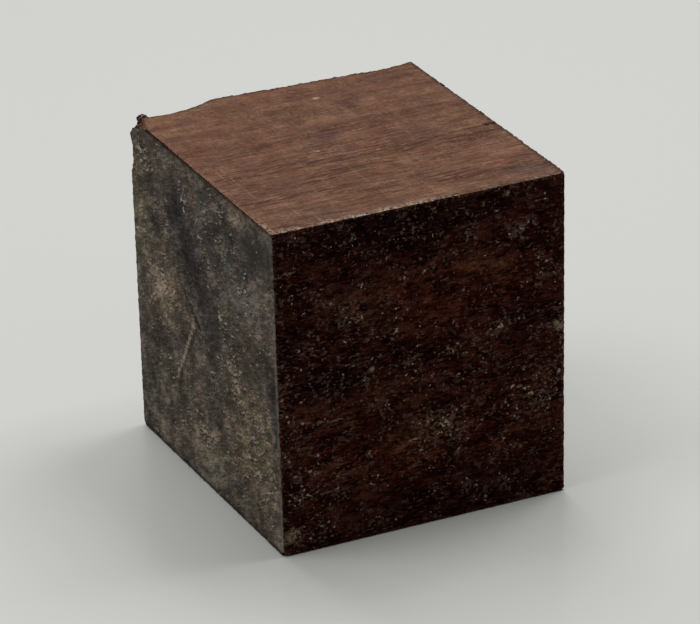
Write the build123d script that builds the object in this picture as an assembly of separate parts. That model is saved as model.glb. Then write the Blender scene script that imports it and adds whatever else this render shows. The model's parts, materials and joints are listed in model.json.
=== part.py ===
from build123d import *
import os

# A sawn offcut of dark hardwood: one square-section block, a little out of square, with a broken top corner.
# X runs along the grain from the left end to the right end, Y from the front to the rear, and Z up.
# The origin is the middle of the footprint, on the surface that the block stands on.

# Sawn size, measured at the foot and at the front
block_length = 45.25
block_depth = 49.8
block_height = 50.0

# How far the saw strayed from square
end_flare = 0.4  # each end leans out by this at the top
end_draw = 0.33  # each end turns in by this at the rear
front_lean = 0.2  # the front leans back by this at the top
top_rise = 0.3  # the top climbs by this towards the rear

# Rear face: it was split off and not sawn, so it wanders between the two ends
rear_wander = 2.4  # deepest hollow, measured in from the rear arris of the left end
rear_place_shares = (-0.06, 0.0, 0.12, 0.26, 0.38, 0.5, 0.68, 0.8, 0.88, 0.95, 1.0, 1.06)
rear_depth_shares = (0.0, 0.0, 0.2, 0.35, 0.38, 0.56, 0.67, 0.82, 1.0, 0.81, 0.63, 0.45)

# Arrises: worn round at the sides and the foot, and left sharp at the freshly sawn top
side_arris = 0.35
foot_arris = 0.3

# Corners blunted by knocks, as the length lost along each arris
right_front_top_knock = 0.6
left_front_foot_knock = 1.1
right_front_foot_knock = 0.7
left_rear_foot_knock = 1.3

# Hollow torn out along the rear top arris, as a shallow dish
hollow_radius = 21.9
hollow_bite = 2.1  # how far it cuts in from the arris, square to it
hollow_place_share = 0.106  # its middle, as a share of the length from the left end

# Dent worn into the upright arris at the left and the rear
dent_radius = 7.0
dent_bite = 0.9
dent_below_top = 6.0  # from the top down to its middle

# Broken corner at the left, rear and top: a blunt-edged shoulder, and a steep riser that carries the torn nub
break_in = 1.2  # from the left end in to the foot of the riser
break_along = 7.0  # along the left top arris to where the break runs out
break_drop = 2.3  # from the top down to the foot of the riser
shoulder_width = 0.7  # from the foot of the riser out to the blunt edge
shoulder_fall = 0.1  # the shoulder drops by this on its way out
edge_fall = 0.9  # the blunt edge drops by this on its way out to the left end
riser_lean = 0.9  # the riser leans in by this on its way up to the top

# Nub of torn fibres left standing at the head of the riser, as two beads one above the other
nub_radius = 0.8
nub_in = 1.75  # from the left end
nub_back = 1.0  # in from the rear
nub_below_top = 0.85  # from the top down to the middle of the upper bead
nub_step = 0.65  # from the upper bead down to the lower one

# Drying check: a split along the grain that opens at the right end
check_width = 0.35
check_run = 2.2
check_drop = 6.0
check_place_share = 0.425  # its place, as a share of the depth from the front

# How far a cutter or an unsawn face stands clear of the finished block
overrun = 2.0

# The part of the height in which only the upright arrises have their middles
upright_shares = (0.25, 0.75)

LEFT, RIGHT = -1, 1
FRONT, REAR = -1, 1
FOOT, TOP = 0, 1


def corner(end, side, level):
    """A corner of the block as the saw left it, before any wear or break."""
    at_rear = side == REAR
    x = end * (block_length / 2 + level * end_flare - at_rear * end_draw)
    y = side * block_depth / 2 + (level * front_lean if side == FRONT else 0)
    z = level * (block_height + at_rear * top_rise)
    return Vector(x, y, z)


def plane_through(first, second, third):
    """The plane of three points, facing the side from which they turn anticlockwise."""
    along = second - first
    return Plane(origin=first, x_dir=along, z_dir=along.cross(third - first))


def pyramid(base, apex):
    """A solid with straight sides from a flat outline to a point."""
    outline = make_face(Polyline(*base, close=True))
    return loft([outline, Vertex(*apex)])


def billet():
    """The rough piece before sawing: its rear face is finished, and its other sides stand proud."""
    rear = Spline(
        *[
            (block_length * (place - 1 / 2), block_depth / 2 - rear_wander * depth)
            for place, depth in zip(rear_place_shares, rear_depth_shares)
        ]
    )
    front = -block_depth / 2 - overrun
    sides = Polyline(rear @ 1, ((rear @ 1).X, front), ((rear @ 0).X, front), rear @ 0)
    return extrude(make_face(rear + sides), amount=block_height + top_rise + overrun)


def sawn(wood):
    """The billet after four saw cuts: both ends, the front and the top."""
    left_front = corner(LEFT, FRONT, FOOT)
    left_front_top = corner(LEFT, FRONT, TOP)
    right_front = corner(RIGHT, FRONT, FOOT)
    cuts = (
        plane_through(left_front, left_front_top, corner(LEFT, REAR, FOOT)),
        plane_through(right_front, corner(RIGHT, REAR, FOOT), corner(RIGHT, FRONT, TOP)),
        plane_through(left_front, right_front, left_front_top),
        plane_through(left_front_top, corner(RIGHT, FRONT, TOP), corner(LEFT, REAR, TOP)),
    )
    for cut in cuts:
        wood = split(wood, bisect_by=cut, keep=Keep.BOTTOM)
    return wood


def worn(wood):
    """The sawn block with its side and foot arrises rubbed round."""
    low, high = (share * block_height for share in upright_shares)
    wood = fillet(wood.edges().filter_by_position(Axis.Z, low, high), side_arris)
    return fillet(wood.edges().group_by(Axis.Z)[0], foot_arris)


def knocked(wood, end, side, level, knock):
    """The block with one corner blunted by a small flat."""
    outward = Vector(end, side, 1 if level == TOP else -1)
    on_arris = corner(end, side, level) - Vector(end * knock, 0, 0)
    return split(wood, bisect_by=Plane(origin=on_arris, z_dir=outward), keep=Keep.BOTTOM)


def dish(on_arris, outward, radius, bite):
    """A ball that takes a shallow dish out of an arris."""
    return Pos(on_arris + outward.normalized() * (radius - bite)) * Sphere(radius)


def rear_hollow():
    """The dish torn out of the rear top arris."""
    rear_top = corner(LEFT, REAR, TOP)
    place = block_length * (hollow_place_share - 1 / 2)
    return dish(Vector(place, rear_top.Y, rear_top.Z), Vector(0, 1, 1), hollow_radius, hollow_bite)


def side_dent():
    """The dish worn into the upright arris at the left and the rear."""
    on_arris = corner(LEFT, REAR, TOP) - Vector(0, 0, dent_below_top)
    return dish(on_arris, Vector(LEFT, REAR, 0), dent_radius, dent_bite)


def corner_break():
    """The chip lost from the left, rear and top corner. Its point is where the break runs out along the top."""
    rear_top = corner(LEFT, REAR, TOP)
    apex = rear_top - Vector(0, break_along, 0)
    riser_foot = Vector(break_in, 0, -break_drop)
    edge = riser_foot - Vector(shoulder_width, 0, shoulder_fall)
    edge_end = edge - Vector(edge.X, 0, edge_fall) * ((edge.X + overrun) / edge.X)
    riser_slope = riser_lean / break_drop
    riser_head = Vector(break_in + riser_slope * (break_drop + overrun), 0, overrun)
    outside = Vector(-overrun, 0, overrun)
    grow = (break_along + overrun) / break_along
    outline = (riser_foot, riser_head, outside, edge_end, edge)
    return pyramid([apex + (rear_top + p - apex) * grow for p in outline], apex)


def torn_nub():
    """The knob of torn fibres at the head of the break, half sunk in the wood that carries it."""
    upper = corner(LEFT, REAR, TOP) + Vector(nub_in, -nub_back, -nub_below_top)
    bead = Sphere(nub_radius)
    return Pos(upper) * bead + Pos(upper - Vector(0, 0, nub_step)) * bead


def drying_check():
    """The split along the grain: a thin wedge, open at the right end and closing to nothing inside."""
    mouth = corner(RIGHT, FRONT, TOP)
    y = block_depth * (check_place_share - 1 / 2)
    gape = check_width / 2 * (check_run + overrun) / check_run
    wedge = make_face(
        Polyline(
            (mouth.X - check_run, y),
            (mouth.X + overrun, y - gape),
            (mouth.X + overrun, y + gape),
            close=True,
        )
    )
    low = block_height - check_drop
    return extrude(Pos(0, 0, low) * wedge, amount=check_drop + top_rise + overrun)


def wood_block():
    """The whole block, set down with the middle of its footprint at the origin."""
    wood = worn(sawn(billet()))
    wood = knocked(wood, RIGHT, FRONT, TOP, right_front_top_knock)
    wood = knocked(wood, LEFT, FRONT, FOOT, left_front_foot_knock)
    wood = knocked(wood, RIGHT, FRONT, FOOT, right_front_foot_knock)
    wood = knocked(wood, LEFT, REAR, FOOT, left_rear_foot_knock)
    wood = wood - rear_hollow() - side_dent() - corner_break() + torn_nub() - drying_check()
    box = wood.bounding_box()
    return Pos(-box.center().X, -box.center().Y, -box.min.Z) * wood


os.makedirs("parts", exist_ok=True)
export_step(wood_block(), "parts/wood_block.step")
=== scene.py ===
import json
import math

import bmesh
import bpy
from mathutils import Matrix, Vector
from mathutils.kdtree import KDTree

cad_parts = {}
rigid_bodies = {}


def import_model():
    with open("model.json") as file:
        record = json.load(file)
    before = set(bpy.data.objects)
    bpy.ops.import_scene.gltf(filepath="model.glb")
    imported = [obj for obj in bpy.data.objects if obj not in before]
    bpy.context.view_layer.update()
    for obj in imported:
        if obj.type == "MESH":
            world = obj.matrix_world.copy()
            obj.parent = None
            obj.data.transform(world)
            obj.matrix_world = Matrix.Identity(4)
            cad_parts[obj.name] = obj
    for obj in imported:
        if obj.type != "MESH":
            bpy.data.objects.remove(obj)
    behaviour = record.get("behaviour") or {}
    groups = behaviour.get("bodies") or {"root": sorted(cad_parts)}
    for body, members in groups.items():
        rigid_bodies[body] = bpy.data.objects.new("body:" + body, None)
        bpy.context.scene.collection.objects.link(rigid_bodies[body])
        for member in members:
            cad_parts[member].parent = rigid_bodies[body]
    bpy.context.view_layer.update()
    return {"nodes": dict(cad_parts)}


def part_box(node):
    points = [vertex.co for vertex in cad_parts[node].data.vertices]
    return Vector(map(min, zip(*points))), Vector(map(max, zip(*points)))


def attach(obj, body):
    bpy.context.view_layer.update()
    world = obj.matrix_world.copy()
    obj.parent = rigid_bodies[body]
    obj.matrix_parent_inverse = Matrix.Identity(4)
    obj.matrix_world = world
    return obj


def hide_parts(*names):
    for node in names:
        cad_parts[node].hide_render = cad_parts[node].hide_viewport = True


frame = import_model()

# Block: one solid offcut of dark hardwood, crosscut at both ends and sawn on the front, foot and top.
# Its rear was split off along the grain, and one top corner broke away with it.
# A plain cube is sliced, drawn over the solid like a skin, and then worn, torn and split as the wood was.
MM = 0.001
solid = frame["nodes"]["wood_block"]
low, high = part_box("wood_block")
size = high - low
slices = 11
fine_cuts = 8
arris_cuts = 2
same_place = 0.01 * MM
square_edge = math.radians(60)
bpy.ops.object.select_all(action="DESELECT")
bpy.ops.mesh.primitive_cube_add(size=1, location=(low + high) / 2, scale=size)
block = bpy.context.active_object
block.name = "hardwood_block"
bpy.ops.object.transform_apply(location=True, rotation=False, scale=True)
bpy.ops.object.mode_set(mode="EDIT")
bpy.ops.mesh.select_mode(type="VERT")
for normal in ((1, 0, 0), (0, 1, 0), (0, 0, 1)):
    for cut in range(1, slices):
        bpy.ops.mesh.select_all(action="SELECT")
        bpy.ops.mesh.bisect(plane_co=low + size * cut / slices, plane_no=normal)


def select_where(test):
    """Selects the block's vertices whose place passes the test, and nothing else."""
    shape = bmesh.from_edit_mesh(block.data)
    for part in (*shape.faces, *shape.edges):
        part.select = False
    for vertex in shape.verts:
        vertex.select = test(vertex.co)
    shape.select_flush_mode()
    bmesh.update_edit_mesh(block.data)


def select_sharp(angle):
    """Selects the edges at which two faces meet at more than this angle, and nothing else."""
    bpy.ops.mesh.select_all(action="DESELECT")
    bpy.ops.mesh.edges_select_sharp(sharpness=angle)


def keep_selection(name):
    """Keeps the selected vertices as a vertex group."""
    bpy.ops.object.vertex_group_add()
    block.vertex_groups.active.name = name
    bpy.ops.object.vertex_group_assign()


# Rear: each slice is drawn in to the split face behind it, so that no row of the top is lost over the edge.
# The solid is sighted from behind, a little inside each slice, so that the outer slices find it too.
sight_height = low.z + 0.7 * size.z
sight_share = 0.955
for cut in range(slices + 1):
    x = low.x + size.x * cut / slices
    eye = Vector((x * sight_share, high.y + size.y, sight_height))
    split_face = solid.ray_cast(eye, Vector((0, -1, 0)))[1]
    depth_share = (split_face.y - low.y) / size.y
    select_where(lambda place: abs(place.x - x) < same_place)
    bpy.ops.transform.resize(value=(1, depth_share, 1), center_override=(0, low.y, 0))

# Rows: finer all over, finer still along the arrises, and three close together for the drying check
check_y = low.y + 0.425 * size.y
check_half = 0.15 * MM
check_end = high.x - 2.2 * MM
check_foot = high.z - 6.0 * MM
bpy.ops.mesh.select_all(action="SELECT")
bpy.ops.mesh.subdivide(number_cuts=fine_cuts)
select_sharp(square_edge)
bpy.ops.mesh.select_more()
bpy.ops.mesh.subdivide(number_cuts=arris_cuts)
for offset in (-check_half, check_half, 0):
    bpy.ops.mesh.select_all(action="SELECT")
    bpy.ops.mesh.bisect(plane_co=(0, check_y + offset, 0), plane_no=(0, 1, 0))


def in_check(place, half_width, foot, head=math.inf):
    """Whether a place is this near to the middle of the drying check, between two heights."""
    return abs(place.y - check_y) < half_width and place.x > check_end and foot < place.z < head


def draw_onto_solid():
    """Brings every point of the block's skin onto the nearest point of the solid."""
    skin = block.modifiers.new("skin", "SHRINKWRAP")
    skin.target = solid
    skin.wrap_method = "NEAREST_SURFACEPOINT"
    bpy.ops.object.modifier_apply(modifier=skin.name)


select_sharp(square_edge)
keep_selection("arris")
select_where(lambda place: in_check(place, same_place, check_foot))
keep_selection("check")
bpy.ops.object.mode_set(mode="OBJECT")
draw_onto_solid()

# Broken corner: made finer and drawn on twice more, so that the skin sinks into the step under the torn nub
broken_corner = Vector((low.x, high.y, high.z))
break_reach = 5.0 * MM
for turn in range(2):
    bpy.ops.object.mode_set(mode="EDIT")
    select_where(lambda place: (place - broken_corner).length < break_reach)
    bpy.ops.mesh.subdivide(number_cuts=1)
    bpy.ops.object.mode_set(mode="OBJECT")
    draw_onto_solid()

# Drying check: its middle row is pushed in to a sharp line, and its mouth closes towards the foot
check_steps = 12
step_height = (high.z - check_foot) / check_steps
bpy.ops.object.mode_set(mode="EDIT")
bpy.ops.mesh.select_all(action="DESELECT")
bpy.ops.object.vertex_group_select()
bpy.ops.transform.resize(value=(0, 0, 1), center_override=(check_end, check_y, 0))
for step in range(check_steps):
    foot = check_foot + step_height * (step - 0.5)
    select_where(lambda place: in_check(place, 2 * check_half, foot, foot + step_height))
    bpy.ops.transform.resize(value=(1, (step + 1) / check_steps, 1), center_override=(0, check_y, 0))

# Sharp edges: what is still sharp on the skin, spread a little to both sides, gets nicked later
worn_edge = math.radians(50)
bpy.ops.mesh.select_all(action="SELECT")
bpy.ops.mesh.remove_doubles(threshold=same_place / 5)
select_sharp(worn_edge)
keep_selection("sharp")
bpy.ops.object.mode_set(mode="WEIGHT_PAINT")
bpy.ops.object.vertex_group_smooth(factor=0.5, repeat=2)
bpy.ops.object.mode_set(mode="OBJECT")


def group_by(name, weigh):
    """A vertex group whose weights come from each point's place and facing."""
    group = block.vertex_groups.new(name=name)
    for vertex in block.data.vertices:
        weight = weigh(vertex.co, vertex.normal)
        if weight > 0:
            group.add([vertex.index], min(weight, 1.0), "REPLACE")


def arris_finder(borders=()):
    """A finder of the nearest point on any of the block's twelve arrises, or on the borders given."""
    arris = block.vertex_groups["arris"].index
    held = list(borders)
    for vertex in block.data.vertices:
        if any(member.group == arris and member.weight > 0.9 for member in vertex.groups):
            held.append(vertex.co)
    finder = KDTree(len(held))
    for index, place in enumerate(held):
        finder.insert(place, index)
    finder.balance()
    return finder


def on_far_arris(place, facing):
    """Whether a point is on the upright arris at the right and the rear."""
    near_rear = place.y > high.y - 4 * MM and place.z < high.z - 2 * MM
    return near_rear and min(facing.x, facing.y) > 0.2


def beside_check(place, facing):
    """How much a point follows the wander of the drying check: fully near it, and not at all past 1.6 mm."""
    in_reach = place.x > check_end - MM and place.z > check_foot - MM
    return in_reach * (1.6 - abs(place.y - check_y) / MM)


def rub(group, passes):
    """Rubs a group of points smooth, a little more with each pass."""
    rubbing = block.modifiers.new(group, "SMOOTH")
    rubbing.vertex_group = group
    rubbing.factor = 0.5
    rubbing.iterations = passes
    bpy.ops.object.modifier_apply(modifier=rubbing.name)


def roughen(name, group, grain, depth, outward, stretch=1, direction="NORMAL"):
    """Displaces a group by noise of this grain, drawn out along X. The outward share of it stands proud."""
    noise = bpy.data.textures.new(name, "CLOUDS")
    noise.noise_scale = grain
    noise.noise_depth = 2
    ruler = bpy.data.objects.new(name, None)
    bpy.context.collection.objects.link(ruler)
    ruler.scale = (stretch, 1, 1)
    rough = block.modifiers.new(name, "DISPLACE")
    rough.texture = noise
    rough.texture_coords = "OBJECT"
    rough.texture_coords_object = ruler
    rough.vertex_group = group
    rough.direction = direction
    rough.strength = depth
    rough.mid_level = 1 - outward
    bpy.context.view_layer.update()
    bpy.ops.object.modifier_apply(modifier=rough.name)
    bpy.data.objects.remove(ruler)


# Wear: the shoulder of the break is rubbed round, its nub is torn, and the arrises are nicked and chipped.
# Each kind of face has its own roughness, and the drying check wanders from side to side.
shoulder = broken_corner + Vector((0.4, 0, -3.1)) * MM
nub = broken_corner + Vector((2.1, -1.0, -1.2)) * MM
rim_width = 0.6 * MM
nearly_flat = 0.95
arrises = arris_finder()
group_by("shoulder", lambda place, facing: 1.4 - (place - shoulder).length / (0.6 * MM))
group_by("nub", lambda place, facing: 1.5 - (place - nub).length / (1.2 * MM))
group_by("rims", lambda place, facing: 1 - arrises.find(place)[2] / rim_width)
group_by("ends", lambda place, facing: abs(facing.x) > nearly_flat)
group_by("sawn_sides", lambda place, facing: -min(facing.y, facing.z) > nearly_flat)
group_by("split_rear", lambda place, facing: 2 * facing.y - 1)
group_by("far_arris", on_far_arris)
group_by("beside_check", beside_check)
rub("shoulder", passes=30)
roughen("end_grain", "ends", grain=0.9 * MM, depth=0.10 * MM, outward=0.4)
roughen("saw_ripple", "sawn_sides", grain=2.2 * MM, depth=0.06 * MM, outward=0.4)
roughen("split_grain", "split_rear", grain=0.9 * MM, depth=0.30 * MM, outward=0.4, stretch=7)
roughen("nicks", "sharp", grain=0.55 * MM, depth=0.45 * MM, outward=0.50)
roughen("worn_arris", "sharp", grain=4.0 * MM, depth=0.30 * MM, outward=0.50)
roughen("chips", "rims", grain=0.8 * MM, depth=0.22 * MM, outward=0.50)
roughen("torn_fibres", "nub", grain=0.45 * MM, depth=0.40 * MM, outward=0.30)
rub("far_arris", passes=4)
roughen("check_wander", "beside_check", grain=1.3 * MM, depth=0.9 * MM, outward=0.50, direction="Y")
bpy.ops.object.select_all(action="DESELECT")
block.select_set(True)
bpy.context.view_layer.objects.active = block
bpy.ops.object.shade_smooth_by_angle(angle=math.radians(40))

# Top: the face that the saw opened last, bare and dry, so it still has the wood's own reddish brown.
# The grain runs along it in wavy lines with open pores, which show most in its front half.
# The saw left faint straight scratches across the grain, and torn, pale fibres along the front lip.
left, front, top = low.x / MM, low.y / MM, high.z / MM
right, rear = high.x / MM, high.y / MM
through = 9
raised_fibre = (0.37, 0.300, 0.240)


class Finish:
    """A node finish for the block. Its patterns are laid out in millimetres from the block's own origin."""

    def __init__(self, name, roughness, gloss, facing):
        """The shader, the place on the block, and the ragged patterns that every mark is broken up by."""
        self.material = bpy.data.materials.new(name)
        self.material.use_nodes = True
        self.tree = self.material.node_tree
        self.shader = self.tree.nodes["Principled BSDF"]
        self.shader.inputs["Roughness"].default_value = roughness
        self.shader.inputs["Specular IOR Level"].default_value = gloss
        origin = self.add("TexCoord").outputs["Object"]
        self.place = self.vector("SCALE", origin, scale=1 / MM)
        self.x, self.y, self.z = self.add("SeparateXYZ", {0: self.place}).outputs
        self.facing = Vector(facing)
        noise = self.add("TexNoise", {"Vector": self.laid((4, 4, 4))}).outputs["Color"]
        wander = self.vector("SCALE", self.vector("SUBTRACT", noise, (0.5, 0.5, 0.5)), scale=1.6)
        self.flat = self.vector("MULTIPLY", self.place, facing)
        self.wandering = self.vector("ADD", self.flat, wander)
        self.from_arris = self.add("Attribute", attribute_name="from_arris").outputs["Fac"]
        self.fray = self.cloud((0.9, 0.9, 0.9), 3.0)
        self.flakes = self.between(self.cloud((0.55, 0.55, 0.55), centre=(3, 3, 3)), 0.36, 0.56)

    def add(self, kind, inputs=(), **settings):
        """A node with these settings, whose sockets take the given values or links."""
        node = self.tree.nodes.new("ShaderNode" + kind)
        for name, value in settings.items():
            setattr(node, name, value)
        for socket, value in dict(inputs).items():
            if isinstance(value, bpy.types.NodeSocket):
                self.tree.links.new(value, node.inputs[socket])
            else:
                node.inputs[socket].default_value = value
        return node

    def calc(self, operation, *values):
        """A sum of plain numbers."""
        return self.add("Math", enumerate(values), operation=operation).outputs[0]

    def line(self, value, slope, start):
        """A value times a slope, counted from a start."""
        return self.calc("MULTIPLY_ADD", value, slope, start)

    def vector(self, operation, *values, scale=1.0):
        """A sum of places. A length, a distance or a product comes out as a plain number."""
        node = self.add("VectorMath", enumerate(values), operation=operation)
        node.inputs[3].default_value = scale
        plain = operation in ("LENGTH", "DISTANCE", "DOT_PRODUCT")
        return node.outputs["Value" if plain else "Vector"]

    def laid(self, reach, turn=(0, 0, 0), centre=(0, 0, 0), place=None):
        """The place counted in steps of this reach from a centre, along axes turned by these degrees."""
        rotation = [math.radians(angle) for angle in turn]
        inputs = {"Vector": place or self.place, "Location": centre, "Rotation": rotation, "Scale": reach}
        return self.add("Mapping", inputs, vector_type="TEXTURE").outputs[0]

    def cloud(self, reach, detail=2.0, turn=(0, 0, 0), centre=(0, 0, 0), place=None):
        """Noise about 0.5 whose lumps have this reach in millimetres along each axis."""
        laid = self.laid(reach, turn, centre, place)
        inputs = {"Vector": laid, "Scale": 1.0, "Detail": detail, "Roughness": 0.6}
        return self.add("TexNoise", inputs).outputs["Fac"]

    def between(self, value, start, end):
        """0 at the start, 1 at the end and a smooth rise between them."""
        inputs = {0: value, 1: start, 2: end}
        return self.add("MapRange", inputs, interpolation_type="SMOOTHSTEP").outputs[0]

    def curls(self, reach, width):
        """Thin crooked lines: the places where a noise passes through its middle value."""
        off_line = self.calc("ABSOLUTE", self.calc("SUBTRACT", self.cloud(reach, 1.0), 0.5))
        return self.between(off_line, width, 0.0)

    def tint(self, share, under, over):
        """One colour laid over another, by a share from 0 to 1."""
        under, over = (c if isinstance(c, bpy.types.NodeSocket) else (*c, 1) for c in (under, over))
        return self.add("Mix", {0: share, 6: under, 7: over}, data_type="RGBA").outputs[2]

    def dye(self, share, under, by):
        """A colour multiplied by another one, by a share from 0 to 1, which keeps the pattern under it."""
        inputs = {0: share, 6: under, 7: (*by, 1)}
        return self.add("Mix", inputs, data_type="RGBA", blend_type="MULTIPLY").outputs[2]

    def shades(self, value, *stops):
        """A run of colours, each at its own value."""
        ramp = self.add("ValToRGB", {0: value})
        elements = ramp.color_ramp.elements
        while len(elements) < len(stops):
            elements.new(0.5)
        for element, (at, colour) in zip(elements, stops):
            element.position = at
            element.color = (*colour, 1)
        return ramp.outputs[0]

    def sum(self, *terms):
        """0.5, and each pattern's swing about 0.5 times its weight."""
        total = 0.5
        for weight, pattern in terms:
            total = self.calc("ADD", self.line(pattern, weight, -weight / 2), total)
        return total

    def share(self, *values):
        """The product of several shares."""
        total = values[0]
        for value in values[1:]:
            total = self.calc("MULTIPLY", total, value)
        return total

    def most(self, *values):
        """The largest of several shares."""
        total = values[0]
        for value in values[1:]:
            total = self.calc("MAXIMUM", total, value)
        return total

    def spot(self, centre, reach, ragged=0.6):
        """A patch with a broken edge: 1 in the middle and 0 past its reach along each axis."""
        far = self.vector("LENGTH", self.laid(reach, centre=centre))
        frayed = self.line(self.fray, ragged, far)
        return self.between(frayed, 1.0 + ragged / 2, 0.2 + ragged / 2)

    def stroke(self, start, end, width, ragged=0.5, broken=True, straight=False):
        """A stroke along the face from one point to another: 1 along its middle and 0 past its edges."""
        start, end = Vector(start) * self.facing, Vector(end) * self.facing
        along = end - start
        offset = self.vector("SUBTRACT", self.flat if straight else self.wandering, tuple(start))
        run = self.vector("DOT_PRODUCT", offset, tuple(along / along.length_squared))
        run = self.add("Clamp", {0: run}).outputs[0]
        nearest = self.add("VectorMath", {0: tuple(along), 3: run}, operation="SCALE").outputs[0]
        far = self.vector("DISTANCE", offset, nearest)
        frayed = self.line(self.fray, width * ragged, far)
        mark = self.between(frayed, width * (0.7 + ragged / 2), width * (0.1 + ragged / 2))
        return self.share(mark, self.flakes) if broken else mark

    def relief(self, height, depth, colour):
        """Feeds the colour to the shader, with a relief of this depth in millimetres."""
        bump = self.add("Bump", {"Height": height, "Distance": depth * MM, "Strength": 1.0})
        self.tree.links.new(bump.outputs[0], self.shader.inputs["Normal"])
        self.tree.links.new(colour, self.shader.inputs["Base Color"])


def on_top(from_left, from_rear):
    """A point of the top face, in millimetres."""
    return (left + from_left, rear - from_rear, top)


def top_spot(place, reach, ragged=0.6):
    """A patch of the top face, with its reach along and across the grain."""
    return sawn.spot(on_top(*place), (*reach, through), ragged)


sawn = Finish("fresh_sawn_top", roughness=0.8, gloss=0.05, facing=(1, 1, 0.1))
sway = sawn.cloud((15, 7, 7), 1.0)
drift = sawn.add("CombineXYZ", {1: sawn.line(sway, 2.6, -1.3)}).outputs[0]
grain = sawn.vector("ADD", sawn.place, drift)
fibres = sawn.cloud((3.2, 0.28, 0.28), place=grain)
streaks = sawn.cloud((11.0, 0.60, 0.60), place=grain)
bands = sawn.cloud((30, 3.0, 3.0), place=grain)
mottle = sawn.cloud((3.2, 2.6, 2.6), 3.0)
crumbs = sawn.cloud((0.42, 0.42, 0.42))
saw_marks = sawn.cloud((0.34, 9, 9))
grainy = sawn.between(sawn.line(sway, 8.0, sawn.y), 16.0, 2.0)
lines = sawn.calc("SUBTRACT", sawn.sum((0.90, fibres), (0.70, streaks)), 0.5)
lines = sawn.calc("MULTIPLY", lines, sawn.line(grainy, 0.7, 0.3))
blotches = sawn.sum((0.50, bands), (0.95, mottle), (0.95, crumbs), (0.35, saw_marks))
colour = sawn.shades(
    sawn.calc("ADD", lines, blotches),
    (0.10, (0.060, 0.0278, 0.0180)),
    (0.50, (0.132, 0.0657, 0.0410)),
    (0.90, (0.234, 0.1290, 0.0830)),
)

# Red and golden veins in the wavy grain, broader purple stains, dark pores and pale single fibres
for reach, centre, place, start, strength, hue in (
    ((9, 1.4, 1.4), (9, 2, 0), grain, 0.48, 0.42, (0.182, 0.067, 0.042)),
    ((9, 1.2, 1.2), (5, 4, 0), grain, 0.52, 0.35, (0.180, 0.102, 0.057)),
    ((6, 2.8, 2.8), (1, 8, 0), sawn.place, 0.50, 0.42, (0.108, 0.060, 0.050)),
):
    vein = sawn.between(sawn.cloud(reach, centre=centre, place=place), start, 0.66)
    colour = sawn.tint(sawn.share(vein, strength), colour, hue)
in_bands = sawn.line(sawn.between(bands, 0.58, 0.42), 0.5, 0.5)
in_grain = sawn.line(grainy, 0.60, 0.40)
for reach, centre, start, strength in (
    ((3.0, 0.34, 0.34), (7, 3, 0), 0.59, 0.85),
    ((7.0, 0.48, 0.48), (2, 9, 0), 0.58, 0.80),
):
    pores = sawn.between(sawn.cloud(reach, 1.0, centre=centre, place=grain), start, start + 0.07)
    colour = sawn.tint(sawn.share(pores, in_grain, in_bands, strength), colour, (0.062, 0.026, 0.018))
pale_fibres = sawn.between(sawn.cloud((1.8, 0.26, 0.26), 1.0, centre=(3, 11, 0), place=grain), 0.62, 0.74)
colour = sawn.tint(sawn.share(pale_fibres, 0.45), colour, (0.330, 0.190, 0.138))

# Dark and light patches, and a grey corner at the right and the front
for place, reach in (
    ((30.5, 11.0), (4.0, 2.2)),
    ((8.5, 19.5), (3.5, 1.6)),
    ((22.3, 20.8), (4.2, 1.8)),
    ((33.5, 26.5), (7.0, 4.0)),
    ((10.5, 46.5), (5.0, 3.0)),
):
    colour = sawn.dye(sawn.share(top_spot(place, reach, 1.2), 0.60), colour, (0.66, 0.72, 0.88))
for place, reach in (
    ((27.5, 33.0), (5.5, 3.0)),
    ((21.0, 32.2), (3.0, 0.8)),
    ((3.2, 4.0), (2.6, 4.0)),
):
    colour = sawn.dye(sawn.share(top_spot(place, reach, 1.4), 0.45), colour, (1.30, 1.42, 1.10))
grey_corner = top_spot((43.0, 46.5), (6.5, 4.5), 1.2)
colour = sawn.dye(sawn.share(grey_corner, 0.60), colour, (0.80, 1.08, 1.25))

# Saw scratches that skip, a dark scuff near the rear, two pale crumbs and the mouth of the drying check
skipping = sawn.between(sawn.cloud((0.8, 1.8, 1.8), centre=(6, 2, 2)), 0.36, 0.58)
for start, end, width, strength in (
    (on_top(2.5, 25.8), on_top(2.5, 29.0), 0.24, 0.24),
    (on_top(3.5, 25.2), on_top(3.5, 30.0), 0.24, 0.40),
    (on_top(3.4, 31.0), on_top(3.5, 37.0), 0.24, 0.18),
    (on_top(6.2, 38.2), on_top(6.4, 45.5), 0.24, 0.24),
    (on_top(8.2, 46.0), on_top(8.3, 49.0), 0.26, 0.24),
    (on_top(20.0, 33.0), on_top(20.3, 48.0), 0.24, 0.14),
    (on_top(12.0, 30.0), on_top(12.2, 48.0), 0.24, 0.06),
    (on_top(31.0, 3.0), on_top(31.2, 24.0), 0.24, 0.06),
    (on_top(17.0, 4.0), on_top(17.3, 22.0), 0.24, 0.08),
    (on_top(26.7, 38.0), on_top(26.9, 49.0), 0.24, 0.12),
):
    scratch = sawn.stroke(start, end, width, broken=False, straight=True)
    colour = sawn.tint(sawn.share(scratch, strength, skipping), colour, (0.46, 0.32, 0.23))
scuff = (on_top(20.2, 5.0), on_top(21.2, 9.0), on_top(21.5, 13.5))
for start, end in zip(scuff, scuff[1:]):
    colour = sawn.tint(sawn.share(sawn.stroke(start, end, 0.6, 1.4), 0.6), colour, (0.055, 0.027, 0.020))
for place, reach in (((27.0, 7.8), (0.8, 0.6)), ((18.6, 25.9), (0.4, 0.4))):
    colour = sawn.tint(sawn.share(top_spot(place, reach), 0.8), colour, (0.42, 0.29, 0.22))
check_from_rear = (high.y - check_y) / MM
mouth = sawn.stroke(on_top(44.3, check_from_rear), on_top(46.0, check_from_rear), 0.8, 0.8, broken=False)
colour = sawn.tint(mouth, colour, (0.010, 0.006, 0.005))

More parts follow.
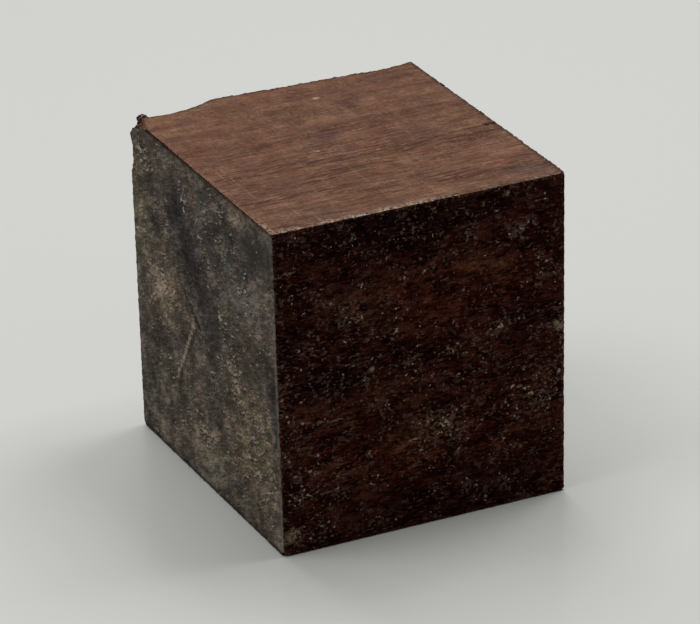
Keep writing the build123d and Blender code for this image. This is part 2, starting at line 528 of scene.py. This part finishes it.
# Lips: raised fibres with dark gaps between them at the front, a narrower row of fibres at the left
# with a reddish rim that is partly worn and partly a painted highlight, and painted shade at the right and
# the rear
fuzz = sawn.cloud((0.45, 0.34, 0.34), 3.0, centre=(4, 4, 4))
front_lip = sawn.between(sawn.y, front + 1.9, front + 0.4)
more_at_left = sawn.line(sawn.between(sawn.x, left + 36, left + 20), 0.6, 0.3)
patchy = sawn.between(sawn.cloud((3.0, 9, 9), 1.0, centre=(8, 1, 1)), 0.34, 0.56)
raised = sawn.share(front_lip, more_at_left, patchy, sawn.between(fuzz, 0.46, 0.60))
colour = sawn.tint(raised, colour, raised_fibre)
front_edge = sawn.between(sawn.y, front + 1.3, front + 0.3)
gaps = sawn.share(front_edge, sawn.between(fuzz, 0.45, 0.36), 0.8)
colour = sawn.tint(gaps, colour, (0.028, 0.019, 0.015))
left_lip = sawn.between(sawn.x, left + 1.2, left + 0.4)
near_front = sawn.between(sawn.y, front + 9, front + 3)
raised = sawn.share(left_lip, near_front, sawn.between(fuzz, 0.46, 0.58), 0.7)
colour = sawn.tint(raised, colour, raised_fibre)
# A reddish rim along the left lip: partly worn wood, partly a painted highlight on the eased edge
raised = sawn.share(left_lip, sawn.between(fuzz, 0.50, 0.62), 0.55)
colour = sawn.tint(raised, colour, (0.290, 0.165, 0.118))
right_lip = sawn.between(sawn.x, right - 1.6, right - 0.6)
rear_lip = sawn.between(sawn.y, rear - 4.5, rear - 2.5)
# Painted shade along the right and the rear arrises of the top
far_edge_shade = sawn.share(sawn.between(sawn.from_arris, 0.8, 0.1), sawn.between(fuzz, 0.60, 0.46), 0.9)
colour = sawn.tint(sawn.share(far_edge_shade, sawn.most(right_lip, rear_lip)), colour, (0.034, 0.021, 0.016))
sawn.relief(sawn.sum((0.8, fibres), (0.5, streaks), (0.5, crumbs)), 0.07, colour)

# Ends: crosscut long ago and sealed, so the end grain has gone grey and olive.
# Dust and tan crumbs have settled in the saw marks, which run askew across the face.
# The left end has a dark band, a fine split below it and a pale gouge. The right end has zones of its own.
hatch_turn = (-22, 0, 0)
deep_shade = (0.022, 0.019, 0.017)


def on_end(from_rear, from_top):
    """A point of the left end, in millimetres."""
    return (left, rear - from_rear, top - from_top)


def on_far_end(from_rear, from_top):
    """A point of the right end, in millimetres."""
    return (right, rear - from_rear, top - from_top)


def end_spot(centre, reach, ragged=0.6):
    """A patch of an end, with its reach from front to rear and up and down."""
    return ends.spot(centre, (through, *reach), ragged)


ends = Finish("weathered_end_grain", roughness=0.9, gloss=0.04, facing=(0.1, 1, 1))
crumbs = ends.cloud((0.34, 0.34, 0.34))
hatch = ends.cloud((0.6, 1.8, 0.50), turn=hatch_turn)
scores = ends.cloud((0.5, 1.1, 0.26), turn=hatch_turn, centre=(6, 4, 4))
blots = ends.cloud((2.2, 3.2, 1.8), 3.0, hatch_turn)
fields = ends.cloud((9, 13, 8), turn=hatch_turn)
colour = ends.shades(
    ends.sum((0.70, crumbs), (1.05, hatch), (0.80, scores), (1.45, blots), (1.25, fields)),
    (0.05, (0.048, 0.039, 0.033)),
    (0.50, (0.115, 0.095, 0.077)),
    (0.95, (0.284, 0.241, 0.196)),
)

# Brown, olive and slate stains all over, and then the light and dark zones of each end
for reach, centre, start, strength, hue in (
    ((1.6, 2.8, 1.2), (5, 2, 9), 0.50, 0.65, (1.42, 1.20, 1.05)),
    ((1.8, 3.0, 1.4), (1, 6, 3), 0.52, 0.75, (0.85, 1.02, 0.90)),
    ((2.0, 3.4, 1.6), (8, 3, 4), 0.52, 0.65, (0.74, 0.70, 0.84)),
):
    stain = ends.between(ends.cloud(reach, turn=hatch_turn, centre=centre), start, start + 0.14)
    colour = ends.dye(ends.share(stain, strength), colour, hue)
for centre, reach, strength, hue in (
    (on_end(26.0, 10.0), (20.0, 11.0), 0.70, (0.72, 0.73, 0.86)),
    (on_end(40.0, 9.0), (11.0, 12.0), 0.70, (0.88, 0.90, 1.00)),
    (on_end(11.0, 24.5), (8.0, 7.0), 0.85, (1.88, 1.74, 1.52)),
    (on_end(37.0, 2.4), (4.0, 2.6), 0.85, (1.75, 1.62, 1.45)),
    (on_end(41.0, 36.0), (10.0, 12.0), 0.85, (1.95, 1.85, 1.50)),
    (on_end(35.0, 28.0), (6.0, 4.0), 0.60, (1.50, 1.48, 1.40)),
    (on_end(24.0, 43.0), (10.0, 4.0), 0.60, (1.60, 1.52, 1.30)),
    (on_end(3.0, 13.0), (4.5, 13.0), 0.70, (1.35, 1.42, 1.20)),
    (on_end(3.0, 42.0), (5.0, 8.0), 0.80, (0.68, 0.78, 0.84)),
    (on_end(27.0, 36.0), (4.5, 6.0), 0.60, (0.72, 0.78, 0.86)),
    (on_far_end(13.0, 13.0), (12.0, 9.0), 0.80, (0.62, 0.64, 0.76)),
    (on_far_end(33.0, 31.0), (13.0, 10.0), 0.80, (1.80, 1.68, 1.38)),
    (on_far_end(9.0, 38.0), (8.0, 7.0), 0.70, (1.55, 1.50, 1.30)),
    (on_far_end(41.0, 8.0), (9.0, 6.0), 0.70, (0.74, 0.80, 0.86)),
    (on_far_end(25.0, 45.0), (15.0, 4.0), 0.70, (0.66, 0.70, 0.78)),
):
    colour = ends.dye(ends.share(end_spot(centre, reach, 1.6), strength), colour, hue)
smooth_grey = end_spot(on_end(44.5, 5.0), (8.5, 5.0), 1.2)
colour = ends.tint(ends.share(smooth_grey, 0.80), colour, (0.042, 0.037, 0.033))
dark_band = ends.most(
    ends.stroke(on_end(16.0, 10.0), on_end(21.0, 16.5), 9.0, 0.8, broken=False),
    ends.stroke(on_end(21.0, 16.5), on_end(27.0, 24.0), 8.5, 0.8, broken=False),
    ends.share(ends.stroke(on_end(25.0, 26.0), on_end(29.0, 38.0), 3.0, 0.8), 0.6),
    ends.stroke(on_end(47.5, 22.0), on_end(49.0, 32.0), 4.0, 0.8, broken=False),
    ends.stroke(on_far_end(24.0, 8.0), on_far_end(15.0, 27.0), 4.0, 1.2, broken=False),
)
colour = ends.dye(ends.share(dark_band, 0.95), colour, (0.56, 0.56, 0.64))

# Fine cracks, and grains that crowd in some places and leave others calm, each with a painted shade below it
crowd = ends.most(
    *(
        end_spot(centre, reach, 1.4)
        for centre, reach in (
            (on_end(18.5, 6.5), (3.5, 4.0)),
            (on_end(26.0, 6.5), (2.5, 2.5)),
            (on_end(31.5, 4.5), (2.5, 2.0)),
            (on_end(12.0, 12.5), (2.5, 2.5)),
            (on_end(5.0, 5.0), (4.0, 4.0)),
            (on_end(11.0, 24.5), (7.0, 6.0)),
            (on_end(31.0, 22.0), (6.0, 4.0)),
            (on_end(35.0, 29.0), (6.0, 5.0)),
            (on_end(42.0, 37.0), (9.0, 11.0)),
            (on_end(24.0, 43.0), (9.0, 4.0)),
            (on_far_end(33.0, 31.0), (11.0, 9.0)),
            (on_far_end(9.0, 38.0), (7.0, 6.0)),
            (on_far_end(38.0, 7.0), (4.0, 3.0)),
        )
    )
)
calm = ends.most(dark_band, smooth_grey, end_spot(on_end(3.0, 42.0), (4.5, 7.0)))
clumps = ends.cloud((2.4, 3.0, 2.0), turn=hatch_turn, centre=(7, 7, 1))
end_density = ends.line(crowd, 0.11, ends.line(clumps, 0.55, -0.315))
end_density = ends.line(calm, -0.09, end_density)


def end_grains(reach, centre, start):
    """Scattered grains on the ends, thicker where the crumbs have gathered."""
    field = ends.cloud(reach, 1.0, hatch_turn, centre)
    return ends.between(ends.calc("ADD", field, end_density), start, start + 0.12)


cracks = ends.between(ends.cloud((0.6, 1.5, 0.34), 1.0, hatch_turn, (4, 8, 2)), 0.60, 0.72)
colour = ends.tint(ends.share(cracks, 0.55), colour, deep_shade)
painted_shade_step = (0, -0.10, -0.20)
faded = ends.between(ends.cloud((0.9, 1.6, 0.9), turn=hatch_turn, centre=(2, 2, 2)), 0.28, 0.62)
for reach, centre, start, pale in (
    ((0.60, 1.05, 0.42), (2, 5, 8), 0.61, (0.340, 0.292, 0.235)),
    ((0.95, 1.55, 0.68), (9, 1, 4), 0.64, (0.430, 0.376, 0.300)),
):
    # Each pale grain gets a dark copy a little below it: painted shade, as if the grain were lit from above
    below = tuple(a + b for a, b in zip(centre, painted_shade_step))
    shade = end_grains(reach, below, start - 0.02)
    colour = ends.tint(ends.share(shade, 0.60), colour, deep_shade)
    grains = end_grains(reach, centre, start)
    colour = ends.tint(ends.share(grains, faded), colour, pale)

# The fine split under the dark band, the pale gouge with a painted shade beside it, and the top, front and
# foot edges
for start, end, width in (
    (on_end(15.8, 19.6), on_end(19.0, 22.3), 0.60),
    (on_end(19.0, 22.3), on_end(24.5, 26.6), 0.95),
    (on_end(26.0, 28.0), on_end(29.0, 38.0), 0.40),
):
    colour = ends.tint(ends.share(ends.stroke(start, end, width, 1.2), 0.85), colour, (0.012, 0.010, 0.009))
# A dark stroke beside the pale gouge: painted shade of the gouge
gouge_shade = ends.stroke(on_end(21.9, 25.8), on_end(15.0, 36.6), 0.80, 1.2)
colour = ends.tint(ends.share(gouge_shade, 0.80), colour, (0.030, 0.020, 0.014))
gouge = ends.stroke(on_end(21.0, 25.3), on_end(13.8, 36.8), 0.65, 1.2)
colour = ends.tint(ends.share(gouge, 0.95), colour, (0.44, 0.37, 0.28))
from_top = ends.line(ends.fray, 1.4, ends.calc("SUBTRACT", ends.z, top))
# Near the top edge: a brown strip of bare wood, and nearest the edge a dark line of painted shade on the
# eased arris
colour = ends.tint(ends.share(ends.between(from_top, -0.35, 0.05), 0.8), colour, (0.070, 0.042, 0.029))
colour = ends.tint(ends.share(ends.between(from_top, 0.15, 0.35), 0.85), colour, (0.024, 0.013, 0.009))
front_rim = ends.between(ends.y, front + 1.0, front + 0.4)
below_corner = ends.between(ends.z, top - 10, top - 18)
rubbed = ends.share(front_rim, below_corner, ends.between(ends.fray, 0.40, 0.52), 0.6)
colour = ends.tint(rubbed, colour, (0.210, 0.182, 0.160))
# Painted shade along the foot of each end, within about a millimetre of the floor
foot_shade = ends.between(ends.line(ends.fray, 1.2, ends.z), 1.7, 0.9)
colour = ends.tint(ends.share(foot_shade, 0.75), colour, (0.026, 0.023, 0.021))
height = ends.sum((0.6, crumbs), (0.6, hatch), (0.4, scores), (0.6, blots), (0.4, grains), (-0.5, gouge))
ends.relief(height, 0.10, colour)

# Sides: the front, the rear and the foot, sealed with a dark wax that lets some of the wood's red through.
# Handling has left dust, curled fibres and tan crumbs in the wax, thickest in a few clusters on the front.


def on_front(from_left, from_top):
    """A point of the front face, in millimetres."""
    return (left + from_left, front, top - from_top)


def front_spot(place, reach, ragged):
    """A patch of the front face, with its reach from side to side and up and down."""
    across, upward = reach
    return sealed.spot(on_front(*place), (across, through, upward), ragged)


sealed = Finish("dark_sealed_side", roughness=0.85, gloss=0.01, facing=(1, 0.1, 1))
dust = sealed.cloud((0.32, 0.28, 0.28))
strands = sealed.cloud((1.6, 0.34, 0.34))
smears = sealed.cloud((2.6, 1.4, 1.4), 3.0)
fields = sealed.cloud((14, 6, 6))
colour = sealed.shades(
    sealed.sum((0.85, dust), (0.85, strands), (1.30, smears), (1.00, fields)),
    (0.05, (0.0035, 0.0006, 0.0004)),
    (0.50, (0.0222, 0.0042, 0.0027)),
    (0.95, (0.0750, 0.0230, 0.0148)),
)

# Red and olive zones where the wax is thin, black ones where it is thick, short red dashes and black pits
for place, reach, strength, hue in (
    ((27, 15), (20, 7), 0.90, (1.80, 1.70, 1.50)),
    ((22, 37), (22, 8), 0.90, (1.95, 1.85, 1.55)),
    ((33, 12), (6, 4), 0.60, (1.50, 2.20, 1.70)),
    ((22, 35), (9, 5), 0.50, (1.10, 2.40, 1.90)),
    ((12, 14), (9, 8), 0.50, (1.20, 2.00, 2.00)),
    ((20, 2.5), (30, 4.0), 0.85, (0.34, 0.55, 0.80)),
    ((8, 24.5), (12, 4.0), 0.90, (0.30, 0.42, 0.60)),
    ((2, 18), (3.5, 4.0), 0.80, (0.30, 0.42, 0.60)),
    ((40, 22), (9, 3.5), 0.70, (0.45, 0.60, 0.80)),
    ((28, 47.5), (22, 3.5), 0.70, (0.40, 0.55, 0.70)),
):
    colour = sealed.dye(sealed.share(front_spot(place, reach, 1.6), strength), colour, hue)
dashes = sealed.between(sealed.cloud((1.3, 0.30, 0.30), 1.0, centre=(1, 2, 6)), 0.57, 0.68)
colour = sealed.tint(sealed.share(dashes, 0.60), colour, (0.0760, 0.0280, 0.0200))
pits = sealed.between(sealed.cloud((1.5, 0.65, 0.65), centre=(5, 3, 1)), 0.54, 0.66)
colour = sealed.tint(sealed.share(pits, 0.80), colour, (0.0032, 0.0007, 0.0006))

# Dust: smudges, curled fibres, grains and pale crumbs, all thicker where they crowd
crowd = sealed.most(
    *(
        front_spot(place, reach, 1.4)
        for place, reach in (
            ((11, 14), (5.0, 5.0)),
            ((6, 20), (4.5, 3.5)),
            ((3, 30), (4.0, 2.5)),
            ((6, 40), (7.0, 5.0)),
            ((2, 47), (2.5, 2.5)),
            ((39, 7), (4.5, 2.5)),
            ((43, 14), (3.0, 5.0)),
            ((20, 4), (3.5, 2.0)),
            ((33, 22), (5.0, 2.0)),
            ((24, 36), (11.0, 6.0)),
            ((40, 34), (6.0, 7.0)),
        )
    )
)
clumps = sealed.cloud((3.0, 2.4, 2.4), centre=(3, 3, 5))
side_density = sealed.line(crowd, 0.06, sealed.line(clumps, 0.36, -0.18))


def side_grains(reach, centre, start):
    """Scattered grains on the sides, thicker where the dust has gathered."""
    field = sealed.cloud(reach, 1.0, centre=centre)
    return sealed.between(sealed.calc("ADD", field, side_density), start, start + 0.07)


warmth = sealed.between(sealed.cloud((4, 3, 3), centre=(8, 2, 7)), 0.42, 0.58)
grey_dust = sealed.tint(warmth, (0.140, 0.092, 0.078), (0.150, 0.096, 0.064))
pale_dust = sealed.tint(warmth, (0.360, 0.290, 0.245), (0.390, 0.305, 0.220))
smudges = side_grains((1.30, 0.80, 0.80), (6, 1, 4), 0.64)
curled = sealed.share(sealed.curls((1.3, 1.0, 1.0), 0.035), side_grains((1.00, 0.90, 0.90), (4, 9, 2), 0.57))
grains = side_grains((0.60, 0.44, 0.44), (2, 5, 8), 0.64)
crumbs = side_grains((0.76, 0.64, 0.64), (7, 7, 2), 0.72)
for bits, strength, hue in (
    (smudges, 0.30, grey_dust),
    (curled, 0.45, grey_dust),
    (grains, 0.70, grey_dust),
    (crumbs, 0.85, pale_dust),
):
    colour = sealed.tint(sealed.share(bits, strength), colour, hue)

# Bare tan chips, three pale scratches, and dust along the arrises
for place, reach in (
    ((44.9, 23.6), (1.3, 1.3)),
    ((1.6, 47.2), (1.7, 1.6)),
    ((36.8, 1.6), (0.5, 0.5)),
    ((15.0, 24.0), (0.6, 0.5)),
    ((9.4, 39.4), (0.35, 0.6)),
):
    chip = sealed.share(front_spot(place, reach, 1.4), sealed.between(dust, 0.35, 0.55), 0.85)
    colour = sealed.tint(chip, colour, (0.280, 0.212, 0.140))
for start, end, width in (
    (on_front(4.5, 30.4), on_front(11.2, 30.7), 0.28),
    (on_front(0.0, 6.9), on_front(3.2, 6.5), 0.45),
    (on_front(37.4, 8.6), on_front(39.4, 7.6), 0.35),
):
    scratch = sealed.share(sealed.stroke(start, end, width, 1.2), 0.75)
    colour = sealed.tint(scratch, colour, (0.220, 0.172, 0.145))
rim = sealed.share(sealed.between(sealed.from_arris, 0.5, 0.1), sealed.between(dust, 0.50, 0.62))
colour = sealed.tint(sealed.share(rim, 0.5), colour, (0.130, 0.098, 0.078))
height = sealed.sum((0.5, dust), (0.5, strands), (0.6, smears), (0.6, grains), (0.8, crumbs))
sealed.relief(height, 0.06, colour)

# Nub and torn hollow: wood that was pulled apart along the grain when the corner broke away.
# Pale pink splinters stand between dark gaps, and they are bunched into lumps at the nub.
torn = Finish("torn_wood", roughness=0.9, gloss=0.04, facing=(1, 1, 1))
splinters = torn.cloud((3.0, 0.24, 0.24))
lumps = torn.calc("SUBTRACT", torn.cloud((0.50, 0.42, 0.42)), 0.5)
at_nub = torn.spot(tuple(nub / MM), (2.6, 2.6, 2.6), 0.4)
lumpy = torn.calc("MULTIPLY", lumps, torn.line(at_nub, 2.0, 0.6))
tone = torn.calc("ADD", torn.sum((1.6, splinters)), lumpy)
# The colours follow the relief's tone: the torn wood's own pink and brown, with painted shade in the gaps
# and painted highlight on the splinters
colour = torn.shades(
    tone,
    (0.20, (0.008, 0.004, 0.003)),
    (0.50, (0.080, 0.039, 0.029)),
    (0.80, (0.360, 0.225, 0.180)),
)
torn.relief(tone, 0.20, colour)

# Finishes laid on: a face takes the one for the side it looks to, except at the break and in the hollow.
# The riser of the break is as fresh as the top, and its shoulder belongs to the left end.
TOP, END, SIDE, BREAK = range(4)
nub_reach = Vector((1.2, 1.5, 1.4)) * MM
hollow_foot = high.z - 4.0 * MM
break_along = 7.0 * MM
break_drop = 2.3 * MM
break_start = 0.1
shoulder_end = low.x + 1.4 * MM
riser_end = low.x + 4.0 * MM


def finish_of(place, normal):
    """The finish of a face, from its place and the way it looks."""
    if all(abs(a - b) < c for a, b, c in zip(place, nub, nub_reach)) and normal.z < nearly_flat:
        return BREAK
    into_break = 1 + (place.y - high.y) / break_along
    if into_break > break_start and normal.y < 0.5:
        if place.z > high.z - break_drop * into_break and place.x < riser_end:
            return TOP
        if place.x < shoulder_end:
            return END
    if place.z > hollow_foot and normal.y > 0.5 and normal.z > 0.3:
        return BREAK
    steepest = max(range(3), key=lambda axis: abs(normal[axis]))
    return (END, SIDE, TOP if normal.z > 0 else SIDE)[steepest]


for finish in (sawn, ends, sealed, torn):
    block.data.materials.append(finish.material)
for face in block.data.polygons:
    face.material_index = finish_of(face.center, face.normal)

# Each point keeps its distance from the nearest arris or border of two finishes, for the dust and the
# painted shade there
finishes_at = [set() for vertex in block.data.vertices]
for face in block.data.polygons:
    for index in face.vertices:
        finishes_at[index].add(face.material_index)
borders = [vertex.co for vertex in block.data.vertices if len(finishes_at[vertex.index]) > 1]
arrises = arris_finder(borders)
wear = block.data.attributes.new("from_arris", "FLOAT", "POINT")
for vertex in block.data.vertices:
    wear.data[vertex.index].value = arrises.find(vertex.co)[2] / MM

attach(block, "root")
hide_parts("wood_block")

# Floor: the plain pale sheet that the block stands on.
# It is smooth enough to mirror the block a little.
bpy.ops.mesh.primitive_plane_add(size=6)
floor = bpy.context.active_object
floor.name = "floor"
pale_floor = bpy.data.materials.new("pale_floor")
pale_floor.use_nodes = True
sheet = pale_floor.node_tree.nodes["Principled BSDF"].inputs
sheet["Base Color"].default_value = (0.69, 0.695, 0.665, 1)
sheet["Roughness"].default_value = 0.14
sheet["Specular IOR Level"].default_value = 0.8
floor.data.materials.append(pale_floor)

# Light: a dim pale room, and three soft boxes high up at the rear, the left and the right.
# Each box is turned to the middle of the block's foot, and the one at the right is the strongest.
soft_box = 0.4
room = bpy.data.worlds.new("studio")
bpy.context.scene.world = room
room.use_nodes = True
walls = room.node_tree.nodes["Background"].inputs
walls["Color"].default_value = (1, 1, 0.985, 1)
walls["Strength"].default_value = 0.15
for place, power in (((0.05, 0.40, 0.72), 2.5), ((-0.36, 0.05, 0.72), 1.9), ((0.36, 0.05, 0.72), 2.7)):
    bpy.ops.object.light_add(type="AREA", location=place)
    lamp = bpy.context.active_object
    lamp.data.size = soft_box
    lamp.data.energy = power
    lamp.rotation_euler = (-lamp.location).to_track_quat("-Z", "Y").to_euler()

# Camera: a long lens that looks down at the block from the front and the left, as the photograph was taken.
# It is held a little askew, and panned so that the block stands where the photograph has it.
azimuth = math.radians(-25.544)
elevation = math.radians(24.461)
roll = math.radians(-1.309)
distance = 731.25 * MM
aim = Vector((2.46, 0.1065, 25.0)) * MM
pan = Vector((-1.633, -1.922)) * MM
level = Vector((math.cos(azimuth), math.sin(azimuth), 0))
flat_share = math.cos(elevation)
back = Vector((math.sin(azimuth) * flat_share, -math.cos(azimuth) * flat_share, math.sin(elevation)))
upright = back.cross(level)
side = level * math.cos(roll) + upright * math.sin(roll)
up = upright * math.cos(roll) - level * math.sin(roll)
bpy.ops.object.camera_add(location=aim + back * distance + side * pan.x + up * pan.y)
camera = bpy.context.active_object
camera.rotation_euler = Matrix((side, up, back)).transposed().to_euler()
camera.data.sensor_width = 36
camera.data.lens = 257.54
camera.data.clip_start = 0.01
camera.data.clip_end = 20
bpy.context.scene.camera = camera
bpy.context.scene.view_settings.view_transform = "Standard"
